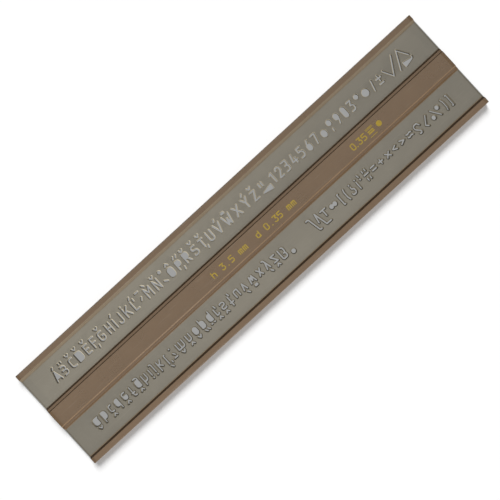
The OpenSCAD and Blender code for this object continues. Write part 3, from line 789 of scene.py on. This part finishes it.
def rectangle(half_x, half_y):
    """The corners of a rectangle around the origin in X and Y, anticlockwise from above."""
    return np.array([(-half_x, -half_y), (half_x, -half_y), (half_x, half_y), (-half_x, half_y)])


def at_paper(flat):
    """Points in X and Y, put at the paper's height."""
    return np.column_stack([flat, np.full(len(flat), -PAPER_GAP)])


outside = rectangle(PAPER_HALF, PAPER_HALF)
inside = rectangle(HALF_LENGTH + SHADE_BEYOND_ENDS, HALF_WIDTH)
frame_of_four = [[k, (k + 1) % 4, (k + 1) % 4 + 4, k + 4] for k in range(4)]
paper = piece_from("paper", at_paper(np.concatenate([outside, inside])), frame_of_four)
shaded_paper = piece_from("shaded_paper", at_paper(inside), [[0, 1, 2, 3]])


def glowing_paper(name, own_light, albedo):
    """White diffuse paper with a share of its own brightness for the eye alone."""
    material = bpy.data.materials.new(name)
    material.use_nodes = True
    tree = material.node_tree
    tree.nodes.clear()
    sheet = add(tree, "ShaderNodeBsdfDiffuse", Color=(albedo, albedo, albedo, 1))
    glow = add(tree, "ShaderNodeEmission", Color=(*own_light, 1))
    tree.links.new(seen_directly(tree), glow.inputs["Strength"])
    both = add(tree, "ShaderNodeAddShader", {0: sheet.outputs[0], 1: glow.outputs[0]})
    add(tree, "ShaderNodeOutputMaterial", {"Surface": both.outputs[0]})
    return material


# White drawing paper in the light; under the stencil, the same paper with its shade painted in.
put(paper, glowing_paper("white_paper", PAPER_GLOW, PAPER_ALBEDO))
put(shaded_paper, glowing_paper("paper_in_the_shade", SHADE_GLOW, SHADE_ALBEDO))

# %% [markdown]
# ## Light
# A tilted step in an opaque thing is bright on the side of the lamp. In a see-through one it is
# the other way round: light enters on the lamp's side and comes out of the far side, which
# glows, while the near flank looks dark. Full refraction would need caustics and much time, so
# the same look is set up with light linking. Lamps on the far side light the stencil only. A soft
# sun stands on the real lamp's side, casts the stencil's shadow and lights the paper only. An
# even world fills both.
#
# The bar and the rails have a far lamp towards the left end, because the photograph grows a
# little darker to the right. The capitals' plate has a low lamp beyond either end, so that the
# sides of its slots that face the nearer end glow and the others look dark. The small letters'
# plate has a nearer lamp. Those slots are flared for a pen that comes from the other side, so
# the sides that face the middle glow, and the sides that face the long edge look dark.

# %% Lamps
WORLD_LEVEL = 0.2
PAPER_SUN = 3.81
SHADOW_SUN_SIZE = math.radians(31)
SUN_TOWARDS = (0.42, 0.93, 1)
LAMP_RADIUS = 60 * MM
SPOT_RADIUS = 30 * MM
SPOT_Y, SPOT_Z = -200, 280
SPOT_AIM_Y = 12


def lamp_of(name, kind, energy, lit, shading=None):
    """A new lamp that lights only the pieces of the list lit. Of them all, only the pieces of
    the list shading cast its shadows; None leaves that to every piece."""
    lamp = bpy.data.objects.new(name, bpy.data.lights.new(name, kind))
    bpy.context.scene.collection.objects.link(lamp)
    lamp.data.energy = energy
    for role, pieces in (("receiver", lit), ("blocker", shading)):
        if pieces is not None:
            group = bpy.data.collections.new(f"{name}_{role}s")
            for piece in pieces:
                group.objects.link(piece)
            setattr(lamp.light_linking, f"{role}_collection", group)
    print(name, "lights", len(lit), "pieces")
    return lamp


# Places are in millimetres, powers in watts and the spots' cones in degrees.
for name, place, power, lit, shading in (
        ("far_side_lamp", (-200, -500, 500), 24.5,
         [centre_bar, capital_rail, lowercase_rail, pen_print, height_print],
         [centre_bar, capital_rail]),
        ("small_letters_lamp", (-15, -150, 110), 1.8, [lowercase_plate], [lowercase_plate])):
    lamp = lamp_of(name, "POINT", power, lit, shading)
    lamp.location = Vector(place) * MM
    lamp.data.shadow_soft_size = LAMP_RADIUS

for name, x, aim_x, cone, power in (("capitals_left_spot", -600, -44, 10.0, 35.5),
                                    ("capitals_right_spot", 600, 89, 13.1, 19.2)):
    lamp = lamp_of(name, "SPOT", power, [capital_plate], [capital_plate])
    lamp.location = Vector((x, SPOT_Y, SPOT_Z)) * MM
    aim = Vector((aim_x, SPOT_AIM_Y, 0)) * MM
    lamp.rotation_euler = (lamp.location - aim).to_track_quat("Z", "Y").to_euler()
    lamp.data.spot_size = math.radians(cone)
    lamp.data.spot_blend = 1.0
    lamp.data.shadow_soft_size = SPOT_RADIUS

window_sun = lamp_of("window_sun", "SUN", PAPER_SUN, [paper])
window_sun.data.angle = SHADOW_SUN_SIZE
window_sun.rotation_euler = Vector(SUN_TOWARDS).to_track_quat("Z", "Y").to_euler()

world = bpy.data.worlds.new("studio")
bpy.context.scene.world = world
world.use_nodes = True
tree = world.node_tree
tree.nodes.clear()
level = add(tree, "ShaderNodeMapRange", {"Value": seen_directly(tree)},
            To_Min=WORLD_LEVEL, To_Max=1.0)
air = add(tree, "ShaderNodeBackground", {"Strength": level.outputs["Result"]}, Color=(1, 1, 1, 1))
add(tree, "ShaderNodeOutputWorld", {"Surface": air.outputs["Background"]})

# %% [markdown]
# ## Finish
# The view transform is Standard, so colours come out as they are written.

# %% Finish
bpy.context.scene.view_settings.view_transform = "Standard"
